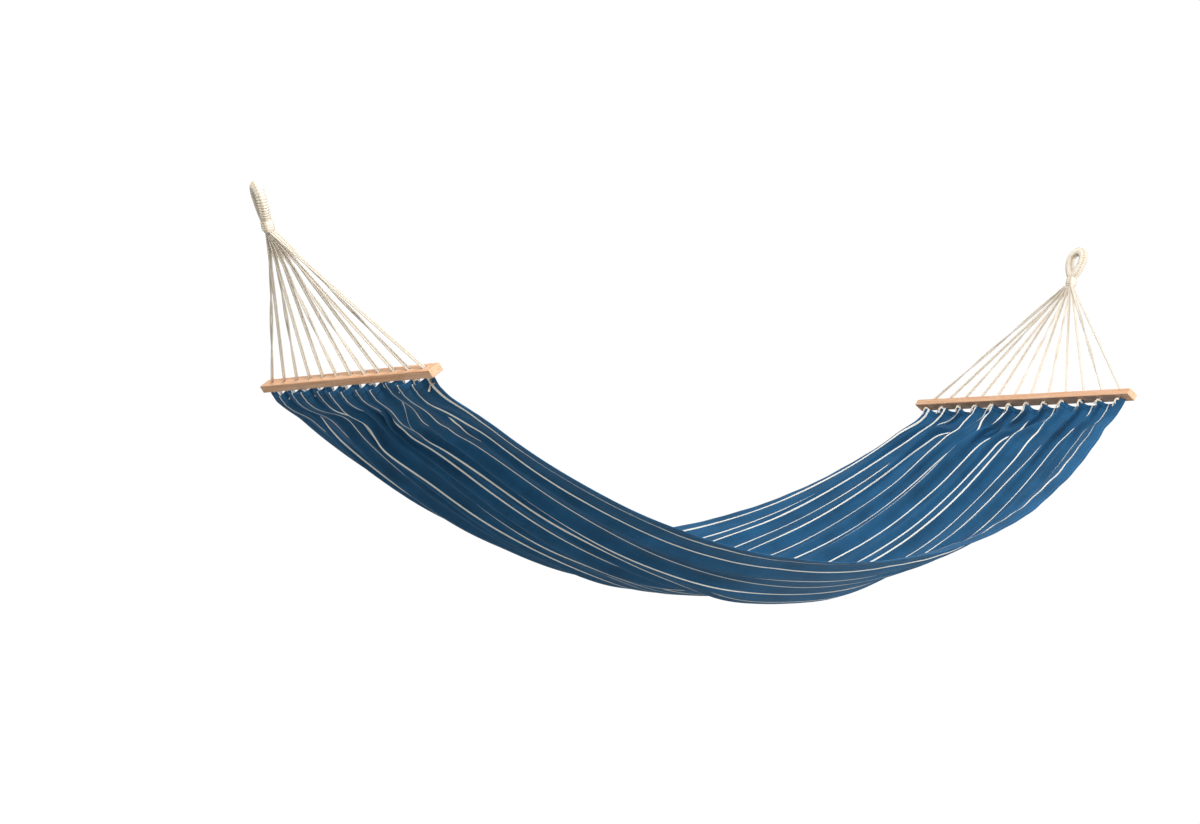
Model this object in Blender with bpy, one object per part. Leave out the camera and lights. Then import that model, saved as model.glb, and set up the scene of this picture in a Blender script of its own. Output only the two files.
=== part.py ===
"""Spreader-bar hammock: a cloth bed between two wooden bars, each hung from an eye by a fan of cords.

Run with Blender 4.5. Units are metres and +Z is up. X runs along the hammock, Y across it. The origin is
where the left hook bears on the inside of the left hanging eye. A side is -1 at the left end and +1 at the
right end, so "outward" is the direction of side along X.
"""

import math

import bmesh
import bpy
from mathutils import Matrix, Vector

# Spreader bars: straight rectangular battens, drilled through their thickness.
BAR_LENGTH = 0.800
BAR_WIDTH = 0.030
BAR_THICKNESS = 0.018
BAR_SPAN = 1.980  # from the middle of one bar to the middle of the other
BAR_TILT = math.radians(54.0)  # the holes' direction above the horizontal
BAR_EDGE = 0.0012  # the small chamfer on every edge
HOLE_RADIUS = 0.006
HOLE_PITCH = 0.0655
HOLE_SIDES = 14

# Suspension: twelve doubled cords at each end run from the neck to the bar.
PAIRS = 12
CORD = 0.004  # diameter
NECK_OUT = 0.186  # from the bar's middle out to the neck
NECK_UP = 0.318  # and up to it
STRAND_GAP = 0.0043  # between the two strands of a pair, in their hole
ROW_PITCH = 0.0044  # between the four rows of strands where they leave the neck
COLUMN_ANGLE = math.radians(16.8)  # between the six columns of strands there
BEND = 0.008  # radius of a cord's bend at the mouth of its hole

# Neck whipping: a barrel with a round lower end, on whose centre the cords turn.
BALL = 0.0146
START = 0.0152  # distance from that centre at which the cords start
WHIPPING_TOP = 0.020
WHIPPING_TOP_RADIUS = 0.0125
WHIPPING_SIDES = 20

# Hanging eye: an oval ring of served cord on a short neck.
EYE_OUT = 0.034  # from the neck's centre out to the top of the ring
EYE_UP = 0.097  # and up to it
EYE_THICKNESS = 0.020
EYE_HALF_WIDTH = 0.027  # half the width of the ring's centre line
EYE_HALF_HEIGHT = 0.030
EYE_STEPS = 24
EYE_SIDES = 12
EYE_NECK_RADIUS = 0.0118
EYE_TURNS = {-1: math.radians(-16.0), 1: 0.0}  # each eye's turn about its neck, out of the fan's plane

# End hems: the rolled ends of the cloth, each held in the bights of its twelve cords.
HEM_RADIUS = 0.0045
HEM_DROP = 0.023  # from the bar's centre line down the holes' direction
HEM_LENGTH = 0.752
HEM_SIDES = 10
BIGHT_RADIUS = 0.0073  # of a cord's bend round its hem, clear of the hem along each straight facet

# Bed: a long trough of cloth with a stitched hem along each side.
BED_END_IN = 0.0235  # from the bar's middle in to the end of the bed
BED_END_DROP = 0.028
BED_END_HALF_WIDTH = 0.375
BED_MIDDLE_HALF_WIDTH = 0.530
EDGE_SAG = 0.358
EDGE_FULLNESS = 0.10  # how much fuller than a parabola the edges hang
TROUGH = 0.104  # depth of the middle below the edges
TROUGH_POWER = 3.0
CLOTH_THICKNESS = 0.003
SIDE_HEM_WIDTH = 0.030
SIDE_HEM_THICKNESS = 0.004
BAYS = 4  # the lengths that the bed is made in
BAY_STEPS = 7
CLOTH_COLUMNS = 6
SIDE_HEM_COLUMNS = 2

GAP = 0.0003  # left between pieces that touch
MERGE = 0.00001

EYE_REACH = math.hypot(EYE_OUT, EYE_UP)
HOOK_REACH = EYE_REACH - EYE_THICKNESS  # from the neck's centre to the inside of the ring's top
NECK_X = HOOK_REACH * EYE_OUT / EYE_REACH
NECK_Z = -HOOK_REACH * EYE_UP / EYE_REACH
MIDDLE_X = NECK_X + NECK_OUT + BAR_SPAN / 2
SIDES = {"left": -1, "right": 1}


def clear_scene():
    for obj in list(bpy.data.objects):
        bpy.data.objects.remove(obj, do_unlink=True)


def material(name, colour, roughness):
    """A Principled material of one colour, given as linear red, green and blue."""
    made = bpy.data.materials.new(name)
    made.use_nodes = True
    shader = made.node_tree.nodes["Principled BSDF"]
    shader.inputs["Base Color"].default_value = (*colour, 1.0)
    shader.inputs["Roughness"].default_value = roughness
    shader.inputs["Metallic"].default_value = 0.0
    made.diffuse_color = (*colour, 1.0)
    return made


def pivot(name, location, parent=None):
    """An empty on a joint's axis, which the pieces that turn about it are parented to."""
    empty = bpy.data.objects.new(name, None)
    empty.empty_display_size = 0.05
    empty.location = location
    empty.parent = parent
    bpy.context.collection.objects.link(empty)
    return empty


def add_object(name, data, parent, finish):
    obj = bpy.data.objects.new(name, data)
    data.materials.append(finish)
    obj.parent = parent
    bpy.context.collection.objects.link(obj)
    return obj


def mesh_object(name, shape, parent, finish, smooth=True):
    """Closes a bmesh into an object, its faces turned outward."""
    bmesh.ops.recalc_face_normals(shape, faces=shape.faces)
    mesh = bpy.data.meshes.new(name)
    shape.to_mesh(mesh)
    shape.free()
    if smooth:
        mesh.shade_smooth()
        mesh.set_sharp_from_angle(angle=math.radians(40))
    return add_object(name, mesh, parent, finish)


def hide_helper(obj):
    obj.hide_render = True
    obj.display_type = "WIRE"


def boolean(obj, other, operation):
    cut = obj.modifiers.new(operation.title(), "BOOLEAN")
    cut.operation = operation
    cut.object = other
    cut.solver = "EXACT"


def turned(shape, profile, steps):
    """Turns a profile of (radius, height) points, from pole to pole, once about Z."""
    points = [shape.verts.new((radius, 0.0, height)) for radius, height in profile]
    edges = [shape.edges.new(ends) for ends in zip(points, points[1:])]
    bmesh.ops.spin(
        shape,
        geom=points + edges,
        cent=(0, 0, 0),
        axis=(0, 0, 1),
        angle=math.tau,
        steps=steps,
        use_merge=True,
        use_duplicate=False,
    )
    bmesh.ops.remove_doubles(shape, verts=shape.verts, dist=MERGE)


class End:
    """One end's directions, seen from the centre of its neck."""

    def __init__(self, side):
        self.side = side
        self.across = Vector((0, 1, 0))
        # Along the holes, outward and up; and across the bar's width, inward and up.
        self.hole = Vector((side * math.cos(BAR_TILT), 0, math.sin(BAR_TILT)))
        self.width = Vector((-side * math.sin(BAR_TILT), 0, math.cos(BAR_TILT)))
        self.bar = Vector((-side * NECK_OUT, 0, -NECK_UP))
        self.down = self.bar.normalized()
        self.face = Vector((-side * NECK_UP, 0, NECK_OUT)).normalized()
        self.eye = Vector((side * EYE_OUT, 0, EYE_UP)).normalized()

    def turn_to(self, direction):
        """The turn about Y that takes +Z to a direction in the XZ plane."""
        return Matrix.Rotation(math.atan2(direction.x, direction.z), 4, "Y")


def make_bar(name, end, parent, finish):
    """A chamfered batten with twelve holes through its thickness."""
    shape = bmesh.new()
    size = Matrix.Diagonal((BAR_WIDTH, BAR_LENGTH, BAR_THICKNESS, 1.0))
    bmesh.ops.create_cube(shape, size=1.0, matrix=size)
    bar = mesh_object(name, shape, parent, finish, smooth=False)
    cutter = bmesh.new()
    for index in range(PAIRS):
        bmesh.ops.create_cone(
            cutter,
            cap_ends=True,
            segments=HOLE_SIDES,
            radius1=HOLE_RADIUS,
            radius2=HOLE_RADIUS,
            depth=2 * BAR_THICKNESS,
            matrix=Matrix.Translation((0, hole_y(index), 0)),
        )
    drill = mesh_object(f"{name}_drill", cutter, parent, finish)
    hide_helper(drill)
    for obj in (bar, drill):
        obj.matrix_local = Matrix.Translation(end.bar) @ end.turn_to(end.hole)
    chamfer = bar.modifiers.new("Chamfer", "BEVEL")
    chamfer.width = BAR_EDGE
    chamfer.segments = 1
    boolean(bar, drill, "DIFFERENCE")


def hole_y(index):
    return (index - (PAIRS - 1) / 2) * HOLE_PITCH


def strand(end, index, row, lean):
    """One strand from the neck to the side of the hem, as (point, direction) keys.

    row is the strand's place across the bundle where it leaves the neck, from 0 to 3. lean is -1 or 1, for
    the side of the hole that it passes through.
    """
    column = index // 2 - (PAIRS / 2 - 1) / 2
    angle = column * COLUMN_ANGLE
    start = end.down * (START * math.cos(angle)) + end.across * (START * math.sin(angle))
    start += end.face * ((row - 1.5) * ROW_PITCH)
    centre = end.bar + end.across * hole_y(index)
    middle = centre + end.width * (lean * STRAND_GAP / 2)
    mouth = middle + end.hole * (BAR_THICKNESS / 2)
    slope = math.atan2(hole_y(index), end.bar.length)
    # The bend brings the strand towards the neck by the time that it reaches the mouth of the hole.
    mouth -= end.across * math.copysign(BEND * (1 - math.cos(slope)), slope)
    throat = middle + end.hole * (BAR_THICKNESS / 2 - BEND * abs(math.sin(slope)) - CORD / 2)
    outlet = middle - end.hole * (BAR_THICKNESS / 2)
    beside_hem = centre - end.hole * HEM_DROP + end.width * (lean * BIGHT_RADIUS)
    pull = (mouth - start).normalized()
    keys = [(start, pull), (mouth, pull), (throat, -end.hole), (outlet, -end.hole)]
    return keys + [(beside_hem, -end.hole)]


def doubled_cord_keys(end, index):
    """A cord's whole way: from the neck through the bar, round the hem, and back to the neck."""
    first_row = 0 if index % 2 == 0 else 2
    down = strand(end, index, first_row, -1)
    up = strand(end, index, first_row + 1, 1)
    under = end.bar + end.across * hole_y(index) - end.hole * (HEM_DROP + BIGHT_RADIUS)
    under_hem = (under, end.width)
    return down + [under_hem] + [(point, -direction) for point, direction in reversed(up)]


STEPS_BETWEEN_KEYS = [3, 2, 1, 2, 2]


def smooth_route(keys):
    """Points along the smooth curve that passes each key in its direction."""
    steps = STEPS_BETWEEN_KEYS + STEPS_BETWEEN_KEYS[::-1]
    points = [keys[0][0]]
    for (start, leaving), (stop, arriving), count in zip(keys, keys[1:], steps):
        reach = (stop - start).length
        for step in range(1, count + 1):
            t = step / count
            blend = t * t * (3 - 2 * t)
            ease = leaving * (t * (1 - t) ** 2) - arriving * (t * t * (1 - t))
            points.append(start.lerp(stop, blend) + ease * reach)
    return points


def make_cord(name, points, parent, finish):
    """A round cord along points that are given from the centre of the neck."""
    curve = bpy.data.curves.new(name, "CURVE")
    curve.dimensions = "3D"
    spline = curve.splines.new("POLY")
    spline.points.add(len(points) - 1)
    for place, point in zip(spline.points, points):
        place.co = (*point, 1.0)
    curve.bevel_depth = CORD / 2
    curve.bevel_resolution = 2
    curve.use_fill_caps = True
    add_object(name, curve, parent, finish)


def make_end_hem(name, end, parent, finish):
    """The rolled end of the cloth, a straight round bead under the bar."""
    shape = bmesh.new()
    lie = end.bar - end.hole * HEM_DROP
    bmesh.ops.create_cone(
        shape,
        cap_ends=True,
        segments=HEM_SIDES,
        radius1=HEM_RADIUS,
        radius2=HEM_RADIUS,
        depth=HEM_LENGTH,
        matrix=Matrix.Translation(lie) @ Matrix.Rotation(math.pi / 2, 4, "X"),
    )
    mesh_object(name, shape, parent, finish)


def make_whipping(name, end, parent, finish):
    """A turned barrel, round below, whose lower end is centred on the neck."""
    shape = bmesh.new()
    arc = [math.radians(degrees) for degrees in range(-90, 1, 15)]
    profile = [(BALL * math.cos(angle), BALL * math.sin(angle)) for angle in arc]
    profile[0] = (0.0, -BALL)
    profile += [(BALL, WHIPPING_TOP / 2), (WHIPPING_TOP_RADIUS, WHIPPING_TOP)]
    turned(shape, profile + [(0.0, WHIPPING_TOP)], WHIPPING_SIDES)
    whipping = mesh_object(name, shape, parent, finish)
    whipping.matrix_local = Matrix.Translation(neck_place(end)) @ end.turn_to(end.eye)


def make_eye(name, end, parent, finish):
    """An oval ring near the fan's plane, on the short neck that carries it to the whipping."""
    thickness = EYE_THICKNESS / 2
    shape = bmesh.new()
    section = Matrix.Translation((0, EYE_HALF_WIDTH, 0))
    section @= Matrix.Rotation(math.pi / 2, 4, "Y") @ Matrix.Rotation(math.pi / 2, 4, "X")
    section @= Matrix.Rotation(math.pi / 2, 4, "Y")
    ring = bmesh.ops.create_circle(shape, segments=EYE_SIDES, radius=thickness, matrix=section)
    bmesh.ops.spin(
        shape,
        geom=ring["verts"] + shape.edges[:],
        cent=(0, 0, 0),
        axis=(1, 0, 0),
        angle=math.tau,
        steps=EYE_STEPS,
        use_merge=True,
        use_duplicate=False,
    )
    bmesh.ops.remove_doubles(shape, verts=shape.verts, dist=MERGE)
    bmesh.ops.scale(shape, vec=(1, 1, EYE_HALF_HEIGHT / EYE_HALF_WIDTH), verts=shape.verts)
    centre = EYE_REACH - thickness - EYE_HALF_HEIGHT
    bmesh.ops.translate(shape, vec=(0, 0, centre), verts=shape.verts)
    eye = mesh_object(name, shape, parent, finish)
    stub = bmesh.new()
    stub_bottom = WHIPPING_TOP + GAP
    stub_top = centre - EYE_HALF_HEIGHT + thickness / 2
    bmesh.ops.create_cone(
        stub,
        cap_ends=True,
        segments=EYE_SIDES + 4,
        radius1=EYE_NECK_RADIUS,
        radius2=EYE_NECK_RADIUS * 0.7,
        depth=stub_top - stub_bottom,
        matrix=Matrix.Translation((0, 0, (stub_top + stub_bottom) / 2)),
    )
    neck = mesh_object(f"{name}_neck", stub, parent, finish)
    hide_helper(neck)
    turn = Matrix.Rotation(EYE_TURNS[end.side], 4, "Z")
    for obj in (eye, neck):
        obj.matrix_local = Matrix.Translation(neck_place(end)) @ end.turn_to(end.eye) @ turn
    boolean(eye, neck, "UNION")


def neck_place(end):
    """The centre of an end's neck, from the origin."""
    return Vector((MIDDLE_X + end.side * (NECK_OUT + BAR_SPAN / 2), 0, NECK_Z))


def bed_half_width(along):
    """Half the bed's width at a place from -1 at the left end to 1 at the right."""
    fall = 1 - along * along
    return BED_END_HALF_WIDTH + (BED_MIDDLE_HALF_WIDTH - BED_END_HALF_WIDTH) * fall


def bed_point(along, y):
    """A point of the bed, from the middle of the swing axis: the edges sag, and the middle sags further."""
    fall = 1 - along * along
    edge = -NECK_UP - BED_END_DROP - EDGE_SAG * fall * (1 + EDGE_FULLNESS * along * along)
    out = abs(y) / bed_half_width(along)
    depth = TROUGH * fall * fall * (1 - out**TROUGH_POWER)
    return Vector((along * (BAR_SPAN / 2 - BED_END_IN), y, edge - depth))


def bed_strip(name, bay, columns, edges, thickness, parent, finish):
    """One bay's length of a strip of the trough. edges gives the Y of its two long edges for a half width."""
    shape = bmesh.new()
    bmesh.ops.create_grid(shape, x_segments=BAY_STEPS, y_segments=columns, size=1.0)
    first, last = (2 * (bay + step) / BAYS - 1 for step in (0, 1))
    first += GAP
    last -= GAP
    for vert in shape.verts:
        along = first + (last - first) * (vert.co.x + 1) / 2
        low, high = edges(bed_half_width(along))
        vert.co = bed_point(along, low + (high - low) * (vert.co.y + 1) / 2)
    strip = mesh_object(name, shape, parent, finish)
    solid = strip.modifiers.new("Thickness", "SOLIDIFY")
    solid.thickness = thickness
    solid.offset = 0.0


def make_bed(parent, cloth, hem):
    """The cloth, in a front and a rear half, and the hem beside each, all in bays with gaps between."""

    def front_cloth(half_width):
        return SIDE_HEM_WIDTH + GAP - half_width, -GAP / 2

    def rear_cloth(half_width):
        return GAP / 2, half_width - SIDE_HEM_WIDTH - GAP

    def front_hem(half_width):
        return -half_width, SIDE_HEM_WIDTH - half_width

    def rear_hem(half_width):
        return half_width - SIDE_HEM_WIDTH, half_width

    for bay in range(BAYS):
        for word, edges in (("front", front_cloth), ("rear", rear_cloth)):
            name = f"{word}_cloth_{bay + 1}"
            bed_strip(name, bay, CLOTH_COLUMNS, edges, CLOTH_THICKNESS, parent, cloth)
        for word, edges in (("front", front_hem), ("rear", rear_hem)):
            name = f"{word}_side_hem_{bay + 1}"
            bed_strip(name, bay, SIDE_HEM_COLUMNS, edges, SIDE_HEM_THICKNESS, parent, hem)


def main():
    clear_scene()
    wood = material("beech", (0.61, 0.33, 0.14), 0.55)
    cotton = material("cotton_cord", (0.78, 0.70, 0.56), 0.90)
    cloth = material("striped_canvas", (0.03, 0.12, 0.30), 0.85)
    hem = material("canvas_hem", (0.03, 0.10, 0.26), 0.85)
    hooks = pivot("hooks", (0, 0, 0))
    swing = pivot("swing_axis", (MIDDLE_X, 0, NECK_Z), hooks)
    for word, side in SIDES.items():
        end = End(side)
        turn = pivot(f"{word}_bar_axis", (side * (NECK_OUT + BAR_SPAN / 2), 0, 0), swing)
        make_eye(f"{word}_hanging_eye", end, hooks, cotton)
        make_whipping(f"{word}_neck_whipping", end, hooks, cotton)
        make_bar(f"{word}_spreader_bar", end, turn, wood)
        make_end_hem(f"{word}_end_hem", end, turn, hem)
        for index in range(PAIRS):
            route = smooth_route(doubled_cord_keys(end, index))
            make_cord(f"{word}_cord_{index + 1:02d}", route, turn, cotton)
    make_bed(swing, cloth, hem)


main()
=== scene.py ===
"""Spreader-bar hammock: the finish of every piece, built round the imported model.

Run with Blender 4.5 after the model is packed. Units are metres and +Z is up. X runs along the hammock, Y
across it, and the origin is where the left hook bears on the left hanging eye.
"""

import logging
import math
from dataclasses import dataclass, field
from enum import Enum

import bpy
import numpy as np
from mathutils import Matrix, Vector


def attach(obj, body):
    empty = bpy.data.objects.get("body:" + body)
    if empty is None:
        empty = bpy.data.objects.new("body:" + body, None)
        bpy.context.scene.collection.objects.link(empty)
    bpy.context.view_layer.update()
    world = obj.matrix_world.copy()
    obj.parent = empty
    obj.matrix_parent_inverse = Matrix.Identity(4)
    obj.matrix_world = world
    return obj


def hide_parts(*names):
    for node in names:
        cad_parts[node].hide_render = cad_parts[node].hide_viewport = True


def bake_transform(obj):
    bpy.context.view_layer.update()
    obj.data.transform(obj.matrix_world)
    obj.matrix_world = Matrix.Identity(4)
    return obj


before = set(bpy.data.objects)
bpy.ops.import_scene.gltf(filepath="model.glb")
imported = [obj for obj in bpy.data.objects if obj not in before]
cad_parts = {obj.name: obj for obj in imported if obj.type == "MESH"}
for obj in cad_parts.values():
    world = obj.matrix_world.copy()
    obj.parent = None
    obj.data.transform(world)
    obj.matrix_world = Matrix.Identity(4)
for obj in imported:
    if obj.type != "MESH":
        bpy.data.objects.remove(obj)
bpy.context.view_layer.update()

LOG = logging.getLogger("hammock")
MILLIMETRE = 0.001
CLOTH_MAP = "cloth_metres"
CORD_MAP = "cord_metres"


# ---------------------------------------------------------------------------------------------------------
# Mesh and node tools
# ---------------------------------------------------------------------------------------------------------


def unit(vectors: np.ndarray) -> np.ndarray:
    """Scale vectors along the last axis to length one."""
    length = np.linalg.norm(vectors, axis=-1, keepdims=True)
    return vectors / np.maximum(length, 1e-12)


def smooth_step(values: np.ndarray, low: float, high: float) -> np.ndarray:
    """Ease from 0 at low to 1 at high as 3t^2 - 2t^3."""
    t = np.clip((np.asarray(values, float) - low) / (high - low), 0.0, 1.0)
    return t * t * (3.0 - 2.0 * t)


def running_total(slope: np.ndarray, step: float) -> np.ndarray:
    """Integrate along axis 1 by the trapezium rule, starting from zero."""
    total = np.zeros_like(slope)
    total[:, 1:] = np.cumsum((slope[:, 1:] + slope[:, :-1]) * (step / 2.0), axis=1)
    return total


def grid_faces(index: np.ndarray, wrap_rows: bool = False, wrap_columns: bool = False) -> np.ndarray:
    """Join a grid of vertex numbers into four-sided faces.

    Args:
        index: vertex numbers in rows and columns.
        wrap_rows: joins the last row to the first.
        wrap_columns: joins the last column to the first.

    Returns:
        Faces as an array of shape (count, 4), turned so that rows x columns points outward.
    """
    if wrap_rows:
        index = np.vstack([index, index[:1]])
    if wrap_columns:
        index = np.hstack([index, index[:, :1]])
    corners = (index[:-1, :-1], index[1:, :-1], index[1:, 1:], index[:-1, 1:])
    return np.stack([corner.ravel() for corner in corners], axis=1)


def mesh_piece(
    name: str,
    points: np.ndarray,
    quads: np.ndarray,
    material: bpy.types.Material,
    uv: tuple[str, np.ndarray] | None = None,
    triangles: np.ndarray | None = None,
) -> bpy.types.Object:
    """Put computed points and faces into a smooth-shaded object at the origin.

    Args:
        name: the object's name.
        points: vertex places, shape (count, 3).
        quads: four-sided faces, shape (count, 4).
        material: the finish.
        uv: a map's name with one (u, v) for each face corner, quads first.
        triangles: further three-sided faces, shape (count, 3).

    Returns:
        The new object.
    """
    triangles = np.empty((0, 3), int) if triangles is None else triangles
    sizes = np.concatenate([np.full(len(quads), 4), np.full(len(triangles), 3)])
    mesh = bpy.data.meshes.new(name)
    mesh.vertices.add(len(points))
    mesh.vertices.foreach_set("co", np.asarray(points, np.float32).ravel())
    mesh.loops.add(int(sizes.sum()))
    corners = np.concatenate([quads.ravel(), triangles.ravel()]).astype(np.int32)
    mesh.loops.foreach_set("vertex_index", corners)
    mesh.polygons.add(len(sizes))
    mesh.polygons.foreach_set("loop_start", np.concatenate([[0], np.cumsum(sizes)[:-1]]).astype(np.int32))
    mesh.update(calc_edges=True)
    if uv is not None:
        layer = mesh.uv_layers.new(name=uv[0])
        layer.data.foreach_set("uv", np.asarray(uv[1], np.float32).ravel())
    mesh.validate()
    mesh.shade_smooth()
    mesh.materials.append(material)
    obj = bpy.data.objects.new(name, mesh)
    bpy.context.collection.objects.link(obj)
    return obj


def tube_frames(path: np.ndarray, across: np.ndarray) -> tuple[np.ndarray, np.ndarray]:
    """Find two directions square to a path at each of its points.

    The first is the given direction less its part along the path; the second is square to both.
    """
    along = unit(np.gradient(path, axis=0))
    first = unit(across - along * np.sum(across * along, axis=1, keepdims=True))
    return first, np.cross(along, first)


def tube(
    name: str,
    path: np.ndarray,
    across: np.ndarray,
    radius: np.ndarray,
    turn: np.ndarray,
    material: bpy.types.Material,
    closed: bool = False,
) -> bpy.types.Object:
    """Carry a round profile along a path, turning it as it goes.

    A point at angle a of the ring at distance s lies at path(s) + r(s, a) times (cos(a + turn(s)),
    sin(a + turn(s))) in the two directions square to the path. The map holds a / 2pi and s.

    Args:
        name: the object's name.
        path: the centre line, shape (rings, 3).
        across: a direction that is never along the path, for its first side.
        radius: the profile, shape (rings, sides).
        turn: each ring's turn about the path.
        material: the finish.
        closed: the path joins its own start.

    Returns:
        The tube, with domed ends where it is open.
    """
    rings, sides = radius.shape
    first, second = tube_frames(path, across)
    angle = np.linspace(0.0, math.tau, sides, endpoint=False)[None, :] + turn[:, None]
    points = (
        path[:, None, :]
        + first[:, None, :] * (radius * np.cos(angle))[..., None]
        + second[:, None, :] * (radius * np.sin(angle))[..., None]
    )
    index = np.arange(rings * sides).reshape(rings, sides)
    quads = grid_faces(index, wrap_rows=closed, wrap_columns=True)
    run = np.concatenate([[0.0], np.cumsum(np.linalg.norm(np.diff(path, axis=0), axis=1))])
    rows = len(quads) // sides
    ring = np.repeat(np.arange(rows), sides)
    side = np.tile(np.arange(sides), rows)
    run = np.concatenate([run, [run[-1] + (run[1] - run[0])]])
    u = np.stack([side, side, side + 1, side + 1], axis=1) / sides
    v = run[np.stack([ring, ring + 1, ring + 1, ring], axis=1)]
    uv = np.stack([u, v], axis=-1).reshape(-1, 2)
    points = points.reshape(-1, 3)
    triangles = None
    if not closed:
        ahead = unit(np.gradient(path, axis=0))
        tips = np.stack(
            [path[0] - ahead[0] * radius[0].mean() * 0.5, path[-1] + ahead[-1] * radius[-1].mean() * 0.5]
        )
        start, stop = index[0], index[-1]
        low, high = len(points), len(points) + 1
        points = np.vstack([points, tips])
        cap = np.stack([np.full(sides, low), start, np.roll(start, -1)], axis=1)
        lid = np.stack([np.full(sides, high), np.roll(stop, -1), stop], axis=1)
        triangles = np.vstack([cap, lid])
        ends = np.repeat([[0.5, run[0]], [0.5, run[-2]]], 3 * sides, axis=0)
        uv = np.vstack([uv, ends])
    return mesh_piece(name, points, quads, material, (CORD_MAP, uv), triangles)


def settled(obj: bpy.types.Object) -> bpy.types.Object:
    """Apply an object's modifiers, so that its mesh is the final one."""
    bpy.context.view_layer.update()
    evaluated = obj.evaluated_get(bpy.context.evaluated_depsgraph_get())
    mesh = bpy.data.meshes.new_from_object(evaluated)
    mesh.name = obj.name
    mesh.set_sharp_from_angle(angle=math.radians(60.0))
    obj.modifiers.clear()
    obj.data = mesh
    return obj


def linear(colour: str) -> tuple[float, float, float, float]:
    """Turn an sRGB hex colour such as #1f3d5c into linear red, green, blue and one."""
    parts = [int(colour[place : place + 2], 16) / 255.0 for place in (1, 3, 5)]
    return (*(c / 12.92 if c <= 0.04045 else ((c + 0.055) / 1.055) ** 2.4 for c in parts), 1.0)


def add_node(
    tree: bpy.types.NodeTree, kind: str, inputs: dict | None = None, **settings: object
) -> bpy.types.Node:
    """Add a shader node with its settings and links.

    Args:
        tree: the material's node tree.
        kind: the node's type name.
        inputs: for each socket, by name or place, another node's output or a constant.
        settings: the node's own properties.

    Returns:
        The node.
    """
    node = tree.nodes.new(kind)
    for key, value in settings.items():
        setattr(node, key, value)
    for socket, value in (inputs or {}).items():
        if isinstance(value, bpy.types.NodeSocket):
            tree.links.new(value, node.inputs[socket])
        else:
            node.inputs[socket].default_value = value
    return node


def new_material(name: str) -> tuple[bpy.types.Material, bpy.types.NodeTree, bpy.types.Node]:
    """Start a material: returns it, its node tree and its Principled shader."""
    material = bpy.data.materials.new(name)
    material.use_nodes = True
    tree = material.node_tree
    tree.nodes.clear()
    shader = add_node(tree, "ShaderNodeBsdfPrincipled")
    add_node(tree, "ShaderNodeOutputMaterial", {"Surface": shader.outputs[0]})
    return material, tree, shader


# ---------------------------------------------------------------------------------------------------------
# Finishes
# ---------------------------------------------------------------------------------------------------------


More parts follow.
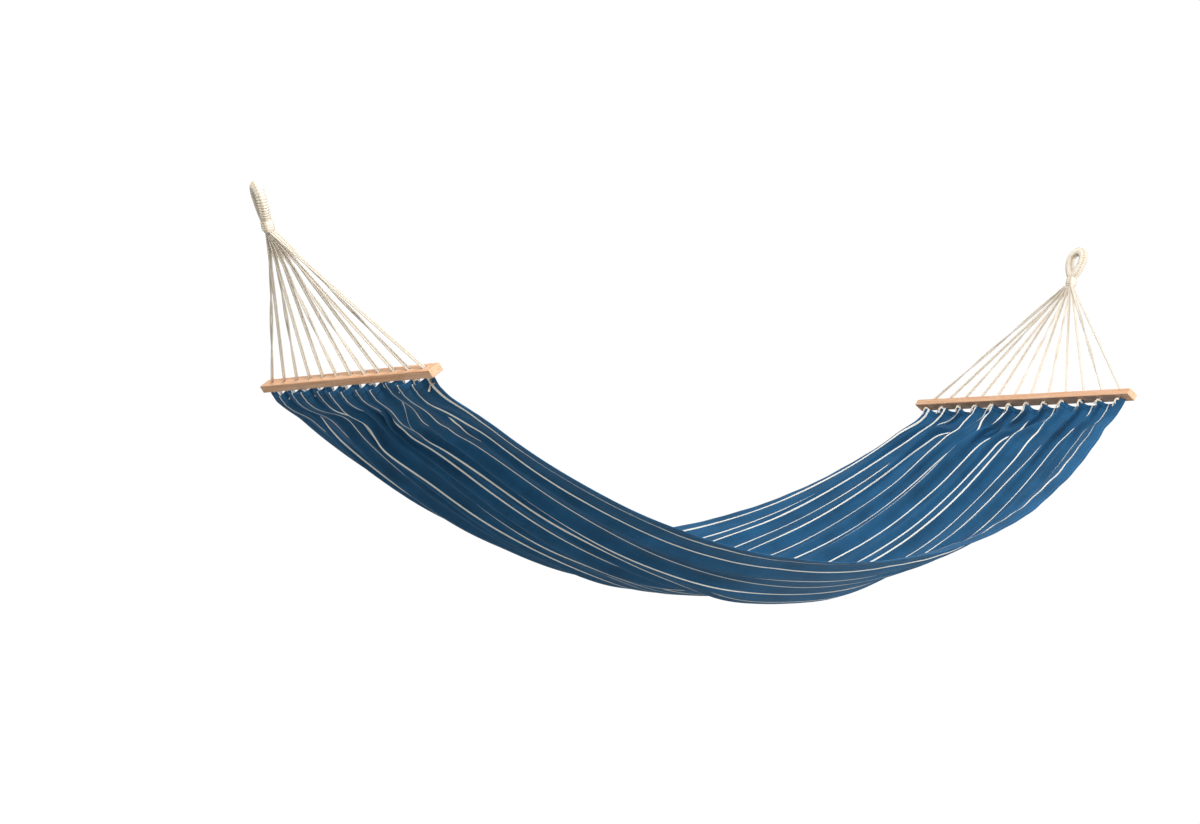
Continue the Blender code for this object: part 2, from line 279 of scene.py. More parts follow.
@dataclass(frozen=True)
class StripedCanvas:
    """Plain-woven cotton canvas, yarn-dyed blue with thin undyed stripes along the warp.

    The matt yarn and its slubs give a soft, slightly uneven blue, and sheen lifts it where it turns away.
    """

    name: str = "striped_cotton_canvas"
    deep: str = "#113f5e"
    pale: str = "#205c86"
    stripe: str = "#efece2"
    width: float = 1.12
    pitch: float = 0.04818
    margin: float = 0.030
    half_stripe: float = 0.0019
    border_half_stripe: float = 0.0028
    yarn: float = 1.4 * MILLIMETRE  # drawn twice as coarse as real yarn, so that it shows
    stitched: bool = False
    stitch_lines: tuple[float, ...] = (0.004, 0.023)
    stitch: float = 3.2 * MILLIMETRE
    thread: str = "#31689a"
    thread_half: tuple[float, float] = (0.0005, 0.0009)
    stripe_waver: float = 0.0006
    stripe_blur: float = 0.0003

    def make(self) -> bpy.types.Material:
        """Build the canvas on the cloth's own map, in metres across and along."""
        material, tree, shader = new_material(self.name)
        place = add_node(tree, "ShaderNodeUVMap", uv_map=CLOTH_MAP).outputs[0]
        parts = add_node(tree, "ShaderNodeSeparateXYZ", {0: place}).outputs
        across, along = parts[0], parts[1]
        slub_place = add_node(
            tree, "ShaderNodeMapping", {"Vector": place, "Scale": (1.0 / self.yarn, 18.0, 1.0)}
        ).outputs[0]
        weft_place = add_node(
            tree, "ShaderNodeMapping", {"Vector": place, "Scale": (22.0, 1.0 / self.yarn, 1.0)}
        ).outputs[0]
        slub = add_node(
            tree, "ShaderNodeTexNoise", {"Vector": slub_place, "Scale": 1.0, "Detail": 2.0}
        ).outputs[0]
        weft = add_node(
            tree, "ShaderNodeTexNoise", {"Vector": weft_place, "Scale": 1.0, "Detail": 2.0}
        ).outputs[0]
        wear = add_node(tree, "ShaderNodeTexNoise", {"Vector": place, "Scale": 9.0, "Detail": 4.0}).outputs[0]
        yarns = add_node(tree, "ShaderNodeMath", {0: slub, 1: weft}, operation="ADD").outputs[0]
        tone = add_node(
            tree, "ShaderNodeMath", {0: yarns, 1: 0.42, 2: wear}, operation="MULTIPLY_ADD"
        ).outputs[0]
        shade = add_node(
            tree, "ShaderNodeMapRange", {0: tone, 1: 0.62, 2: 1.22, 3: 0.0, 4: 1.0}
        ).outputs[0]
        blue = add_node(
            tree, "ShaderNodeMix", {0: shade, 6: linear(self.deep), 7: linear(self.pale)}, data_type="RGBA"
        ).outputs[2]
        stripe = self.stripes(tree, across, slub)
        cloth = add_node(
            tree, "ShaderNodeMix", {0: stripe, 6: blue, 7: linear(self.stripe)}, data_type="RGBA"
        ).outputs[2]
        height = add_node(tree, "ShaderNodeMath", {0: yarns, 1: 0.5}, operation="MULTIPLY").outputs[0]
        if self.stitched:
            seam = self.stitches(tree, across, along)
            cloth = add_node(
                tree, "ShaderNodeMix", {0: seam, 6: cloth, 7: linear(self.thread)}, data_type="RGBA"
            ).outputs[2]
            height = add_node(
                tree, "ShaderNodeMath", {0: seam, 1: 0.8, 2: height}, operation="MULTIPLY_ADD"
            ).outputs[0]
        bump = add_node(
            tree, "ShaderNodeBump", {"Height": height, "Strength": 0.55, "Distance": 0.6 * MILLIMETRE}
        ).outputs[0]
        tree.links.new(cloth, shader.inputs["Base Color"])
        tree.links.new(bump, shader.inputs["Normal"])
        rough = add_node(tree, "ShaderNodeMapRange", {0: yarns, 1: 0.7, 2: 1.3, 3: 0.92, 4: 0.78}).outputs[0]
        tree.links.new(rough, shader.inputs["Roughness"])
        shader.inputs["Specular IOR Level"].default_value = 0.25
        shader.inputs["Sheen Weight"].default_value = 0.18
        shader.inputs["Sheen Roughness"].default_value = 0.55
        shader.inputs["Sheen Tint"].default_value = linear("#9cc4e6")
        return material

    def stripes(
        self, tree: bpy.types.NodeTree, across: bpy.types.NodeSocket, slub: bpy.types.NodeSocket
    ) -> bpy.types.NodeSocket:
        """Where the undyed warp runs: half a stripe each side of every pitch, bolder at the borders."""
        ragged = add_node(
            tree, "ShaderNodeMath", {0: slub, 1: self.stripe_waver, 2: across}, operation="MULTIPLY_ADD"
        ).outputs[0]
        offset = add_node(
            tree, "ShaderNodeMath", {0: ragged, 1: self.margin}, operation="SUBTRACT"
        ).outputs[0]
        gap = add_node(
            tree, "ShaderNodeMath", {0: offset, 1: self.pitch / 2}, operation="PINGPONG"
        ).outputs[0]
        inset = add_node(
            tree, "ShaderNodeMath", {0: across, 1: self.width / 2}, operation="SUBTRACT"
        ).outputs[0]
        centre = add_node(tree, "ShaderNodeMath", {0: inset}, operation="ABSOLUTE").outputs[0]
        border = add_node(
            tree,
            "ShaderNodeMath",
            {0: centre, 1: self.width / 2 - self.margin - self.pitch / 2},
            operation="GREATER_THAN",
        ).outputs[0]
        half = add_node(
            tree,
            "ShaderNodeMath",
            {0: border, 1: self.border_half_stripe - self.half_stripe, 2: self.half_stripe},
            operation="MULTIPLY_ADD",
        ).outputs[0]
        inside = add_node(tree, "ShaderNodeMath", {0: half, 1: gap}, operation="SUBTRACT").outputs[0]
        return add_node(
            tree, "ShaderNodeMapRange", {0: inside, 1: -self.stripe_blur, 2: self.stripe_blur, 3: 0.0, 4: 1.0}
        ).outputs[0]

    def stitches(
        self, tree: bpy.types.NodeTree, across: bpy.types.NodeSocket, along: bpy.types.NodeSocket
    ) -> bpy.types.NodeSocket:
        """Where the thread shows: along each stitch line, for about two thirds of each stitch."""
        inset = add_node(
            tree, "ShaderNodeMath", {0: across, 1: self.width / 2}, operation="SUBTRACT"
        ).outputs[0]
        centre = add_node(tree, "ShaderNodeMath", {0: inset}, operation="ABSOLUTE").outputs[0]
        edge = add_node(
            tree, "ShaderNodeMath", {0: self.width / 2, 1: centre}, operation="SUBTRACT"
        ).outputs[0]
        beat = add_node(
            tree, "ShaderNodeMath", {0: along, 1: self.stitch / 2}, operation="PINGPONG"
        ).outputs[0]
        shown = add_node(
            tree, "ShaderNodeMapRange", {0: beat, 1: self.stitch * 0.12, 2: self.stitch * 0.2, 3: 0.0, 4: 1.0}
        ).outputs[0]
        total: bpy.types.NodeSocket | None = None
        for line in self.stitch_lines:
            off = add_node(tree, "ShaderNodeMath", {0: edge, 1: line}, operation="SUBTRACT").outputs[0]
            near = add_node(tree, "ShaderNodeMath", {0: off}, operation="ABSOLUTE").outputs[0]
            full, none = self.thread_half
            on = add_node(
                tree, "ShaderNodeMapRange", {0: near, 1: none, 2: full, 3: 0.0, 4: 1.0}
            ).outputs[0]
            total = on if total is None else add_node(
                tree, "ShaderNodeMath", {0: total, 1: on}, operation="MAXIMUM"
            ).outputs[0]
        return add_node(tree, "ShaderNodeMath", {0: total, 1: shown}, operation="MULTIPLY").outputs[0]


@dataclass(frozen=True)
class CottonCord:
    """Three-ply twisted cotton cord, undyed: creamy crowns, a painted tan shade in the grooves between the
    plies, and matt fluff.
    """

    name: str = "natural_cotton_cord"
    crown: str = "#e8dece"
    # painted shade: the colour given to the grooves between the plies, where shade falls
    painted_crease_shade: str = "#b59f80"
    plies: int = 3
    # how far the painted groove shade reaches toward full strength
    painted_shade_depth: float = 0.55

    def make(self) -> bpy.types.Material:
        """Build the cord on its own map: turns around it, and metres along it."""
        material, tree, shader = new_material(self.name)
        place = add_node(tree, "ShaderNodeUVMap", uv_map=CORD_MAP).outputs[0]
        around = add_node(tree, "ShaderNodeSeparateXYZ", {0: place}).outputs[0]
        # Painted shade: the colour darkens toward the grooves between the plies, in line with the dips of the
        # cord's lobes
        wave = add_node(
            tree, "ShaderNodeMath", {0: around, 1: 0.5 / self.plies}, operation="PINGPONG"
        ).outputs[0]
        height = add_node(
            tree,
            "ShaderNodeMapRange",
            {0: wave, 1: 0.0, 2: 0.3 / self.plies, 3: 1.0 - self.painted_shade_depth, 4: 1.0},
        ).outputs[0]
        fibre_place = add_node(
            tree, "ShaderNodeMapping", {"Vector": place, "Scale": (26.0, 260.0, 1.0)}
        ).outputs[0]
        fibre = add_node(
            tree, "ShaderNodeTexNoise", {"Vector": fibre_place, "Scale": 1.0, "Detail": 3.0}
        ).outputs[0]
        solid = add_node(tree, "ShaderNodeTexCoord").outputs["Object"]
        soil = add_node(
            tree, "ShaderNodeTexNoise", {"Vector": solid, "Scale": 14.0, "Detail": 3.0}
        ).outputs[0]
        tone = add_node(
            tree, "ShaderNodeMath", {0: fibre, 1: 0.45, 2: height}, operation="MULTIPLY_ADD"
        ).outputs[0]
        # A random soil tone, plus the painted shade in the grooves carried by the ply height
        soil_and_painted_shade = add_node(
            tree, "ShaderNodeMath", {0: soil, 1: 0.5, 2: tone}, operation="MULTIPLY_ADD"
        ).outputs[0]
        shade = add_node(tree, "ShaderNodeMapRange", {0: soil_and_painted_shade, 1: 0.75, 2: 1.35, 3: 0.0, 4: 1.0}).outputs[0]
        colour = add_node(
            tree, "ShaderNodeMix", {0: shade, 6: linear(self.painted_crease_shade), 7: linear(self.crown)}, data_type="RGBA"
        ).outputs[2]
        bump = add_node(
            tree, "ShaderNodeBump", {"Height": fibre, "Strength": 0.5, "Distance": 0.3 * MILLIMETRE}
        ).outputs[0]
        tree.links.new(colour, shader.inputs["Base Color"])
        tree.links.new(bump, shader.inputs["Normal"])
        rough = add_node(tree, "ShaderNodeMapRange", {0: fibre, 1: 0.3, 2: 0.7, 3: 0.95, 4: 0.82}).outputs[0]
        tree.links.new(rough, shader.inputs["Roughness"])
        shader.inputs["Specular IOR Level"].default_value = 0.2
        shader.inputs["Sheen Weight"].default_value = 0.25
        shader.inputs["Sheen Roughness"].default_value = 0.6
        return material


@dataclass(frozen=True)
class PlanedBeech:
    """Steamed beech, planed and oiled: straight grain, short dark flecks, and a low satin gloss."""

    name: str = "planed_oiled_beech"
    pale: str = "#f0c8a6"
    warm: str = "#da9f74"
    fleck: str = "#95602f"
    ring: float = 5.0 * MILLIMETRE
    fleck_width: float = 0.5 * MILLIMETRE
    fleck_length: float = 6.0 * MILLIMETRE

    def make(self) -> bpy.types.Material:
        """Build the wood on Object coordinates, whose Y runs along the bar."""
        material, tree, shader = new_material(self.name)
        place = add_node(tree, "ShaderNodeTexCoord").outputs["Object"]
        drift_place = add_node(
            tree, "ShaderNodeMapping", {"Vector": place, "Scale": (9.0, 2.2, 9.0)}
        ).outputs[0]
        drift = add_node(
            tree, "ShaderNodeTexNoise", {"Vector": drift_place, "Scale": 1.0, "Detail": 2.0}
        ).outputs[1]
        bend = add_node(
            tree, "ShaderNodeVectorMath", {0: drift, 3: 0.035}, operation="SCALE"
        ).outputs[0]
        bent = add_node(tree, "ShaderNodeVectorMath", {0: place, 1: bend}, operation="ADD").outputs[0]
        stretched = add_node(
            tree, "ShaderNodeMapping", {"Vector": bent, "Scale": (1.0 / self.ring, 2.5, 1.0 / self.ring)}
        ).outputs[0]
        rings = add_node(
            tree, "ShaderNodeTexNoise", {"Vector": stretched, "Scale": 1.0, "Detail": 5.0, "Roughness": 0.65}
        ).outputs[0]
        fleck_place = add_node(
            tree,
            "ShaderNodeMapping",
            {
                "Vector": place,
                "Scale": (1.0 / self.fleck_width, 1.0 / self.fleck_length, 1.0 / self.fleck_width),
            },
        ).outputs[0]
        flecks = add_node(
            tree, "ShaderNodeTexNoise", {"Vector": fleck_place, "Scale": 0.6, "Detail": 1.0}
        ).outputs[0]
        fleck = add_node(
            tree, "ShaderNodeMapRange", {0: flecks, 1: 0.60, 2: 0.72, 3: 0.0, 4: 0.55}
        ).outputs[0]
        grain = add_node(tree, "ShaderNodeMapRange", {0: rings, 1: 0.32, 2: 0.68, 3: 0.0, 4: 1.0}).outputs[0]
        wood = add_node(
            tree, "ShaderNodeMix", {0: grain, 6: linear(self.pale), 7: linear(self.warm)}, data_type="RGBA"
        ).outputs[2]
        colour = add_node(
            tree, "ShaderNodeMix", {0: fleck, 6: wood, 7: linear(self.fleck)}, data_type="RGBA"
        ).outputs[2]
        height = add_node(tree, "ShaderNodeMath", {0: rings, 1: flecks}, operation="ADD").outputs[0]
        bump = add_node(
            tree, "ShaderNodeBump", {"Height": height, "Strength": 0.25, "Distance": 0.4 * MILLIMETRE}
        ).outputs[0]
        tree.links.new(colour, shader.inputs["Base Color"])
        tree.links.new(bump, shader.inputs["Normal"])
        rough = add_node(tree, "ShaderNodeMapRange", {0: rings, 1: 0.3, 2: 0.7, 3: 0.48, 4: 0.62}).outputs[0]
        tree.links.new(rough, shader.inputs["Roughness"])
        shader.inputs["Specular IOR Level"].default_value = 0.4
        return material


@dataclass(frozen=True)
class StudioPaper:
    """Seamless white studio paper: plain white to the eye, with a soft light given back from below."""

    name: str = "seamless_paper"
    colour: str = "#b9b9b6"

    def make(self) -> bpy.types.Material:
        """Build the paper: white to the eye, and a matt grey to the light that falls on it."""
        material, tree, shader = new_material(self.name)
        place = add_node(tree, "ShaderNodeTexCoord").outputs["Object"]
        tooth = add_node(
            tree, "ShaderNodeTexNoise", {"Vector": place, "Scale": 60.0, "Detail": 3.0}
        ).outputs[0]
        rough = add_node(tree, "ShaderNodeMapRange", {0: tooth, 1: 0.3, 2: 0.7, 3: 0.9, 4: 1.0}).outputs[0]
        shader.inputs["Base Color"].default_value = linear(self.colour)
        tree.links.new(rough, shader.inputs["Roughness"])
        shader.inputs["Specular IOR Level"].default_value = 0.1
        seen = add_node(tree, "ShaderNodeLightPath").outputs["Is Camera Ray"]
        white = add_node(tree, "ShaderNodeEmission", {"Color": (1.0, 1.0, 1.0, 1.0), "Strength": 1.02})
        mixed = add_node(tree, "ShaderNodeMixShader", {0: seen, 1: shader.outputs[0], 2: white.outputs[0]})
        tree.links.new(mixed.outputs[0], tree.nodes["Material Output"].inputs["Surface"])
        return material


# ---------------------------------------------------------------------------------------------------------
# Rigging: bars, cords, whippings and eyes
# ---------------------------------------------------------------------------------------------------------


class Side(Enum):
    """The hammock's two ends, with the direction along X that leads outward."""

    LEFT = -1
    RIGHT = 1

    @property
    def word(self) -> str:
        """The end's word in the names of nodes and bodies."""
        return self.name.lower()

    @property
    def bar_body(self) -> str:
        """The body that this end's bar, cords and end hem belong to."""
        return f"{self.word}_bar"


@dataclass
class End:
    """One end's directions and places, worked out from its bar and neck."""

    side: Side
    neck_out: float = 0.186
    neck_up: float = 0.318
    bar_tilt: float = math.radians(54.0)
    eye_out: float = 0.034
    eye_up: float = 0.097
    eye_thickness: float = 0.020
    bar_span: float = 1.980
    hole_pitch: float = 0.0655
    pairs: int = 12
    neck: np.ndarray = field(init=False)
    bar: np.ndarray = field(init=False)
    hole: np.ndarray = field(init=False)
    width: np.ndarray = field(init=False)
    down: np.ndarray = field(init=False)
    face: np.ndarray = field(init=False)
    eye: np.ndarray = field(init=False)
    across: np.ndarray = field(init=False)

    def __post_init__(self) -> None:
        """Work out the unit directions, and the places of the neck and the middle of the bar."""
        s = self.side.value
        reach = math.hypot(self.eye_out, self.eye_up)
        hook = reach - self.eye_thickness
        neck_x = hook * self.eye_out / reach
        middle = neck_x + self.neck_out + self.bar_span / 2
        self.neck = np.array(
            [middle + s * (self.neck_out + self.bar_span / 2), 0.0, -hook * self.eye_up / reach]
        )
        self.bar = self.neck + np.array([-s * self.neck_out, 0.0, -self.neck_up])
        self.hole = np.array([s * math.cos(self.bar_tilt), 0.0, math.sin(self.bar_tilt)])
        self.width = np.array([-s * math.sin(self.bar_tilt), 0.0, math.cos(self.bar_tilt)])
        self.down = unit(self.bar - self.neck)
        self.face = unit(np.array([-s * self.neck_up, 0.0, self.neck_out]))
        self.eye = unit(np.array([s * self.eye_out, 0.0, self.eye_up]))
        self.across = np.array([0.0, 1.0, 0.0])

    def hole_y(self, index: int | np.ndarray) -> float | np.ndarray:
        """A hole's place along the bar."""
        return (index - (self.pairs - 1) / 2) * self.hole_pitch


@dataclass
class CordFan:
    """Twelve doubled cords from the neck through the bar to the cloth's end hem, with their hitches."""

    end: End
    finish: bpy.types.Material
    diameter: float = 0.004
    start: float = 0.0152
    strand_gap: float = 0.0043
    row_pitch: float = 0.0044
    column_angle: float = math.radians(16.8)
    bend: float = 0.008
    bar_thickness: float = 0.018
    hem_drop: float = 0.023
    bight_radius: float = 0.0073
    ply_twist: float = 0.017  # length of one turn of the plies
    ring_step: float = 0.0017
    sides: int = 15
    ply_depth: float = 0.13

    def strand_keys(self, index: int, row: int, lean: int) -> list[tuple[np.ndarray, np.ndarray]]:
        """One strand's places and directions, from the neck to beside the hem.

        Args:
            index: the pair's number along the bar.
            row: the strand's place across the bundle at the neck, 0 to 3.
            lean: -1 or 1, for the side of the hole that it passes through.

        Returns:
            A list of (place, direction).
        """
        end = self.end
        column = index // 2 - (end.pairs / 2 - 1) / 2
        angle = column * self.column_angle
        start = end.neck + end.down * (self.start * math.cos(angle))
        start = start + end.across * (self.start * math.sin(angle))
        start = start + end.face * ((row - 1.5) * self.row_pitch)
        y = float(end.hole_y(index))
        centre = end.bar + end.across * y
        middle = centre + end.width * (lean * self.strand_gap / 2)
        slope = math.atan2(y, float(np.linalg.norm(end.bar - end.neck)))
        mouth = middle + end.hole * (self.bar_thickness / 2)
        mouth = mouth - end.across * math.copysign(self.bend * (1 - math.cos(slope)), slope)
        throat = middle + end.hole * (
            self.bar_thickness / 2 - self.bend * abs(math.sin(slope)) - self.diameter / 2
        )
        outlet = middle - end.hole * (self.bar_thickness / 2)
        beside = centre - end.hole * self.hem_drop + end.width * (lean * self.bight_radius)
        pull = unit(mouth - start)
        return [(start, pull), (mouth, pull), (throat, -end.hole), (outlet, -end.hole), (beside, -end.hole)]

    def route(self, index: int) -> np.ndarray:
        """A doubled cord's centre line, with its two long strands laid round each other.

        Between keys p and q it is the smooth curve p + (q - p)(3t^2 - 2t^3) + |q - p|(d_p t(1 - t)^2 -
        d_q t^2(1 - t)). The two long strands turn about the line midway between them by whole turns.

        Args:
            index: the pair's number along the bar.

        Returns:
            The points, shape (count, 3).
        """
        end = self.end
        first = 0 if index % 2 == 0 else 2
        down = self.strand_keys(index, first, -1)
        up = self.strand_keys(index, first + 1, 1)
        y = float(end.hole_y(index))
        under = end.bar + end.across * y - end.hole * (self.hem_drop + self.bight_radius)
        keys = down + [(under, end.width)] + [(place, -way) for place, way in reversed(up)]
        runs = [self.curve(a, b) for a, b in zip(keys, keys[1:])]
        long_down, long_up = self.laid(runs[0], runs[-1][::-1], (0, 1, 0, 0, 1)[index % 5])
        runs[0], runs[-1] = long_down, long_up[::-1]
        return np.vstack([run[:-1] for run in runs] + [runs[-1][-1:]])

    def curve(
        self, a: tuple[np.ndarray, np.ndarray], b: tuple[np.ndarray, np.ndarray]
    ) -> np.ndarray:
        """The smooth curve between two keys, with a point at each ring."""
        reach = float(np.linalg.norm(b[0] - a[0]))
        t = np.linspace(0.0, 1.0, max(3, round(reach / self.ring_step) + 1))[:, None]
        blend = t * t * (3 - 2 * t)
        ease = a[1] * (t * (1 - t) ** 2) - b[1] * (t * t * (1 - t))
        return a[0] + (b[0] - a[0]) * blend + ease * reach

    def laid(self, one: np.ndarray, other: np.ndarray, turns: int) -> tuple[np.ndarray, np.ndarray]:
        """Turn two strands about the line midway between them, by whole turns between their ends."""
        count = min(len(one), len(other))
        pick = np.linspace(0.0, 1.0, count)
        one, other = (
            np.stack([np.interp(pick, np.linspace(0, 1, len(line)), line[:, k]) for k in range(3)], axis=1)
            for line in (one, other)
        )
        middle, half = (one + other) / 2, (other - one) / 2
        along = unit(middle[-1] - middle[0])[None, :]
        angle = (math.tau * turns * smooth_step(pick, 0.03, 0.97))[:, None]
        turned = half * np.cos(angle) + np.cross(along, half) * np.sin(angle)
        return middle - turned, middle + turned

    def build(self) -> list[bpy.types.Object]:
        """Make the cords and their hitches."""
        made = []
        word = self.end.side.word
        for index in range(self.end.pairs):
            path = self.route(index)
            run = np.concatenate([[0.0], np.cumsum(np.linalg.norm(np.diff(path, axis=0), axis=1))])
            around = np.linspace(0.0, math.tau, self.sides, endpoint=False)
            lobes = 1.0 - self.ply_depth * (1.0 - np.abs(np.sin(1.5 * around)))
            radius = np.tile(self.diameter / 2 * 1.04 * lobes, (len(path), 1))
            twist = run * (math.tau / self.ply_twist)
            name = f"{word}_cord_pair_{index + 1:02d}"
            cord = tube(name, path, self.end.across, radius, twist, self.finish)
            hitch = self.hitch(index)
            for piece in (cord, hitch):
                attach(piece, self.end.side.bar_body)
            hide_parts(f"{word}_cord_{index + 1:02d}")
            made += [cord, hitch]
        return made

    def hitch(self, index: int) -> bpy.types.Object:
        """The hitch under one hole: two turns round both strands, crossed, with a short cut tail.

        The turns follow centre + (a cos w, b sin w) in the plane square to the hole, tipped up on one side,
        and the tail runs out on a falling curve.
        """
        end = self.end
        random = np.random.default_rng(40 + index + (100 if end.side is Side.RIGHT else 0))
        y = float(end.hole_y(index))
        centre = end.bar + end.across * y - end.hole * (self.bar_thickness / 2 + 0.0062)
        w = np.linspace(0.0, 2 * math.tau, 73)
        tip = 0.0016 * np.sin(w + random.uniform(0, math.tau)) - 0.0032 * (w / w[-1] - 0.5)
        swell = 1.0 + 0.12 * np.sin(0.5 * w + 1.0)
        turns = (
            centre
            + end.width * (0.0062 * swell * np.cos(w))[:, None]
            + end.across * (0.0044 * swell * np.sin(w))[:, None]
            + end.hole * tip[:, None]
        )
        outside = end.width * (1.0 if end.side is Side.RIGHT else -1.0)
        lean = end.across * random.uniform(-0.8, 0.8)
        length = random.uniform(0.010, 0.026)
        t = np.linspace(0.0, 1.0, 15)[1:, None]
        drop = np.array([0.0, 0.0, -1.0])
        away = unit(turns[-1] - turns[-2])
        tail = turns[-1] + away * (0.004 * t) + (outside * 0.35 + lean * 0.5) * (length * t)
        tail = tail + drop * (length * t**1.6)
        path = np.vstack([turns, tail])
        around = np.linspace(0.0, math.tau, 9, endpoint=False)
        lobes = 1.0 - 0.14 * (1.0 - np.abs(np.sin(1.5 * around)))
        radius = np.tile(0.0019 * lobes, (len(path), 1))
        radius[-3:] *= np.array([[1.1], [1.3], [1.45]])
        run = np.concatenate([[0.0], np.cumsum(np.linalg.norm(np.diff(path, axis=0), axis=1))])
        name = f"{end.side.word}_hitch_{index + 1:02d}"
        tilt = unit(end.hole * 0.9 + np.array([0.13, 0.21, 0.07]))
        return tube(name, path, tilt, radius, run * (math.tau / 0.015), self.finish)


@dataclass
class HangingEye:
    """An oval eye of rope served with close turns of cord, and the whipping that binds its neck."""

    end: End
    finish: bpy.types.Material
    turn: float
    half_width: float = 0.027
    ring_foot: float = 0.013  # from the neck's centre up to where the ring's two legs meet
    serving: float = 0.0056  # diameter of the serving cord
    plumpness: float = 1.18  # the served ring over the bare rope that carries the load
    ball: float = 0.0146
    whipping_top: float = 0.020
    whipping_top_radius: float = 0.0125
    sides: int = 40

    def build(self) -> list[bpy.types.Object]:
        """Make the ring and the whipping."""
        ring, whipping = self.ring(), self.whipping()
        word = self.end.side.word
        for piece, node, finish in (
            (ring, f"{word}_hanging_eye", "served_cord"),
            (whipping, f"{word}_neck_whipping", "whipping_cord"),
        ):
            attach(piece, "eyes")
            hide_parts(node)
        return [ring, whipping]

    def ring(self) -> bpy.types.Object:
        """The served ring: a drop-shaped loop of tube whose radius swells once for each turn of the serving.

        At angle a from its foot the loop lies 1.1 half_width sin(a) sqrt((1 - cos a) / 2) to the side, and
        (1 - cos a) / 2 of the way up.
        """
        end = self.end
        thickness = self.plumpness * end.eye_thickness / 2
        top = math.hypot(end.eye_out, end.eye_up) - thickness
        rings = 460
        a = np.linspace(0.0, math.tau, rings, endpoint=False)
        up = (1.0 - np.cos(a)) / 2.0
        out = 1.10 * self.half_width * np.sin(a) * np.sqrt(up)
        side = end.across * math.cos(self.turn) - np.cross(end.across, end.eye) * math.sin(self.turn)
        rise = self.ring_foot + (top - self.ring_foot) * up
        path = end.neck + side * out[:, None] + end.eye * rise[:, None]
        run = np.concatenate([[0.0], np.cumsum(np.linalg.norm(np.diff(path, axis=0), axis=1))])
        turns = round(float(run[-1]) / self.serving)
        around = np.linspace(0.0, math.tau, self.sides, endpoint=False)
        phase = turns * math.tau * (run / run[-1])[:, None] * (1 - 1 / rings) + around[None, :]
        ridge = np.sqrt(np.clip(1.0 - (2.0 * ((phase / math.tau) % 1.0) - 1.0) ** 2, 0.0, 1.0))
        core = thickness - self.serving / 2
        radius = core + self.serving / 2 * (0.1 + 0.9 * ridge)
        radius = radius * (1.0 - 0.22 * np.exp(-((up / 0.08) ** 2)))[:, None]
        normal = np.cross(side, end.eye)
        return tube(
            f"{end.side.word}_served_eye", path, normal, radius, np.zeros(rings), self.finish, closed=True
        )

    def whipping(self) -> bpy.types.Object:
        """The whipping: a barrel, round below, with a ridge for each turn and the rope's shoulders above it.

        At height h its radius is that of a sphere below the neck's centre, then tapers to the top, and then
        narrows into the ring; each turn of cord adds half a circle.
        """
        end = self.end
        top = self.whipping_top + 0.008
        rings = 260
        h = np.linspace(-self.ball * 0.985, top, rings)
        round_part = np.sqrt(np.clip(self.ball**2 - np.minimum(h, 0.0) ** 2, 0.0, None))
        taper = self.ball + (self.whipping_top_radius - self.ball) * smooth_step(h, 0.004, self.whipping_top)
        shoulder = 1.0 - 0.18 * smooth_step(h, self.whipping_top, top)
        body = np.minimum(round_part, taper) * shoulder
        around = np.linspace(0.0, math.tau, self.sides, endpoint=False)
        phase = h[:, None] / self.serving + around[None, :] / math.tau
        ridge = np.sqrt(np.clip(1.0 - (2.0 * (phase % 1.0) - 1.0) ** 2, 0.0, 1.0))
        radius = body[:, None] - self.serving * 0.30 * (1.0 - ridge)
        radius = np.maximum(radius, 0.002)
        path = end.neck + end.eye * h[:, None]
        return tube(
            f"{end.side.word}_whipping", path, end.across, radius, np.zeros(rings), self.finish
        )


# ---------------------------------------------------------------------------------------------------------
# Cloth
# ---------------------------------------------------------------------------------------------------------


@dataclass(frozen=True)
class Pleat:
    """One long fold of the bed, which wanders across the cloth as it leaves the bar.

    Its place is given from 0 at the front edge to 1 at the rear one, where it starts at the bar and where
    it ends in the middle of the bed. With x in units of its width, its slope is
    exp(-x^2) - k exp(-(k (x - c))^2): a broad face, then a face k times as steep and as narrow that falls
    back to the level it rose from.
    """

    at_bar: float
    at_middle: float
    width: float
    strength: float = 1.0
    begins: float = 0.02
    ends: float = 1.4
    steepness: float = 1.5
    apart: float = 1.7
    growth: float = 0.12  # of the half's length, over which it deepens
    fading: float = 0.35  # of the half's length, over which it dies out

    def slope(self, u: np.ndarray, q: np.ndarray, cloth_width: float) -> np.ndarray:
        """The fold's slope pattern at u across the cloth and at q of the way to the middle."""
        centre = (self.at_bar + (self.at_middle - self.at_bar) * q) * cloth_width
        x = (u - centre) / (self.width * (0.8 + 0.5 * q))
        grown = smooth_step(q, self.begins, self.begins + self.growth)
        shown = self.strength * grown * (1.0 - smooth_step(q, self.ends - self.fading, self.ends))
        back = self.steepness * (x - self.apart)
        return shown * (np.exp(-x * x) - self.steepness * np.exp(-back * back))


